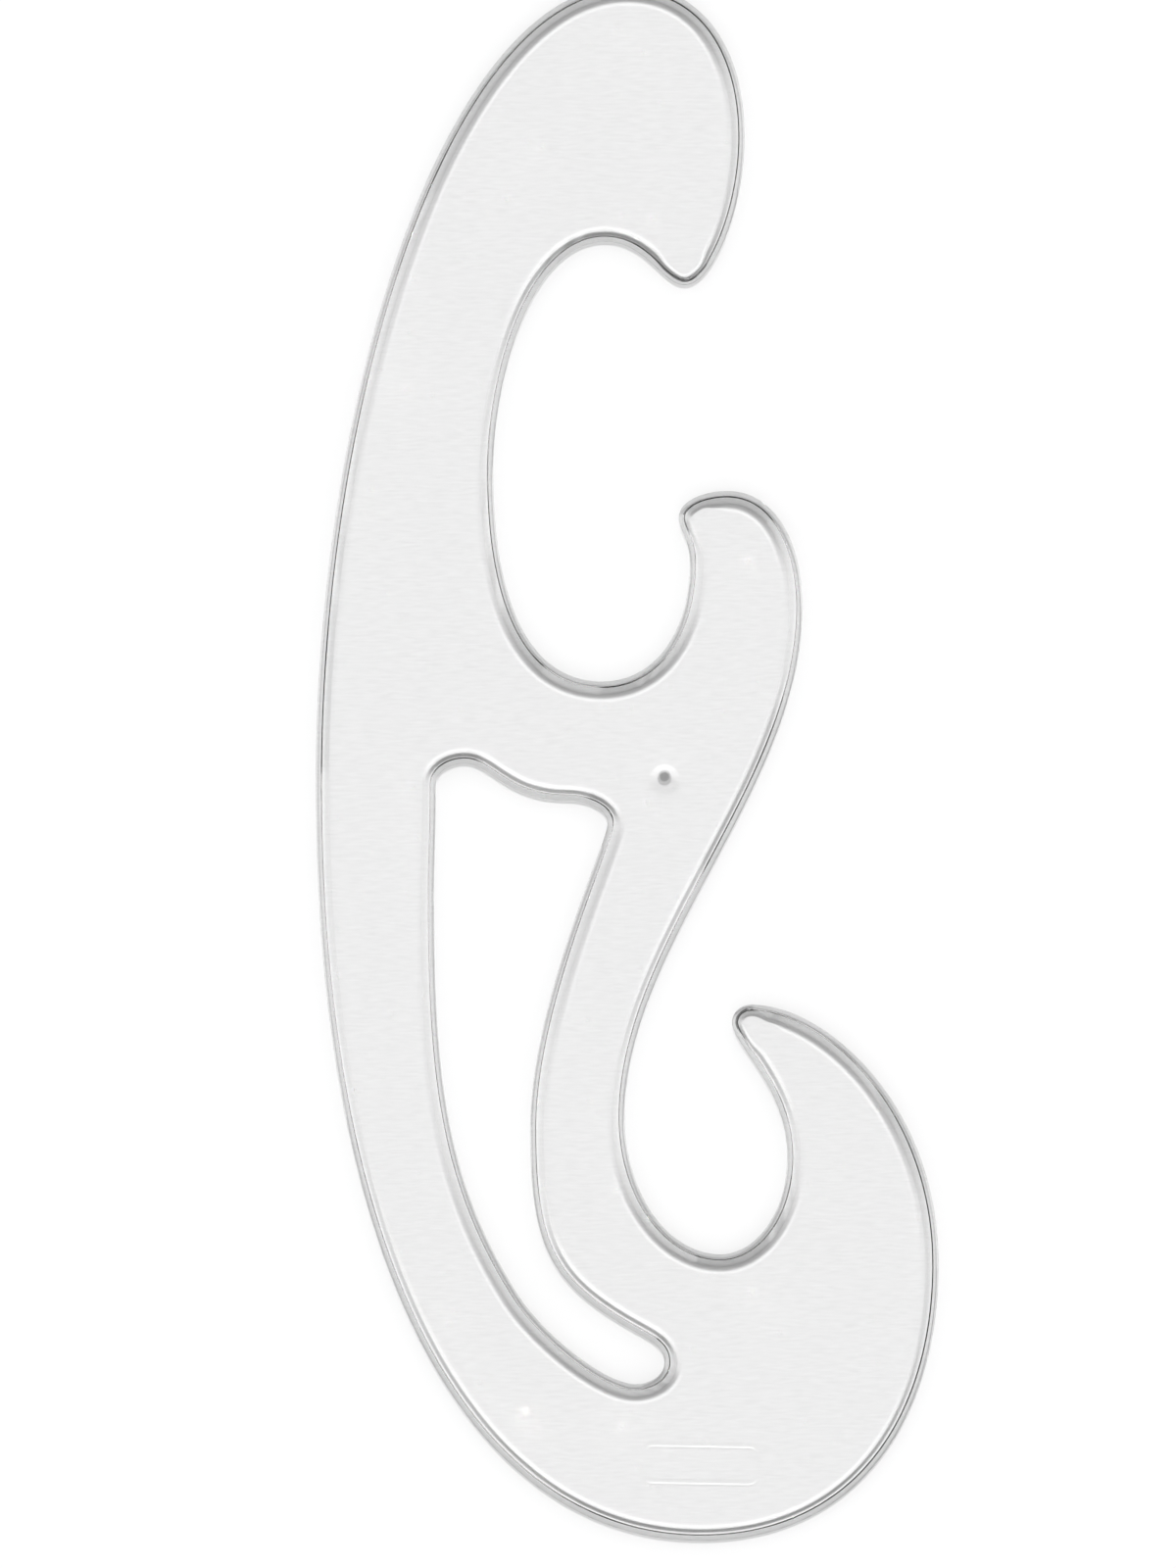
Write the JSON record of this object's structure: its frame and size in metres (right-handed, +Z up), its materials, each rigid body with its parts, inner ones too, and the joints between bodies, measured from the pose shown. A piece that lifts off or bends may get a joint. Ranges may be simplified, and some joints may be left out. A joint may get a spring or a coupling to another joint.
{
  "type": "french curve",
  "caption": "Flat clear drawing template with scrolled ends, a stepped and bevelled inking edge and a curved window, for guiding a pen along curves of changing radius.",
  "frame": {"origin": "middle of the overall outline, on the flat underside", "axes": "+Z up out of the marked face, +Y along the template towards its head, +X across it from the spine to the tail"},
  "size_m": [0.1076, 0.2686, 0.0026],
  "materials": {
    "clear_plastic": "clear, colourless and polished"
  },
  "bodies": {
    "root": {"curve_plate": "clear_plastic"}
  },
  "joints": []
}
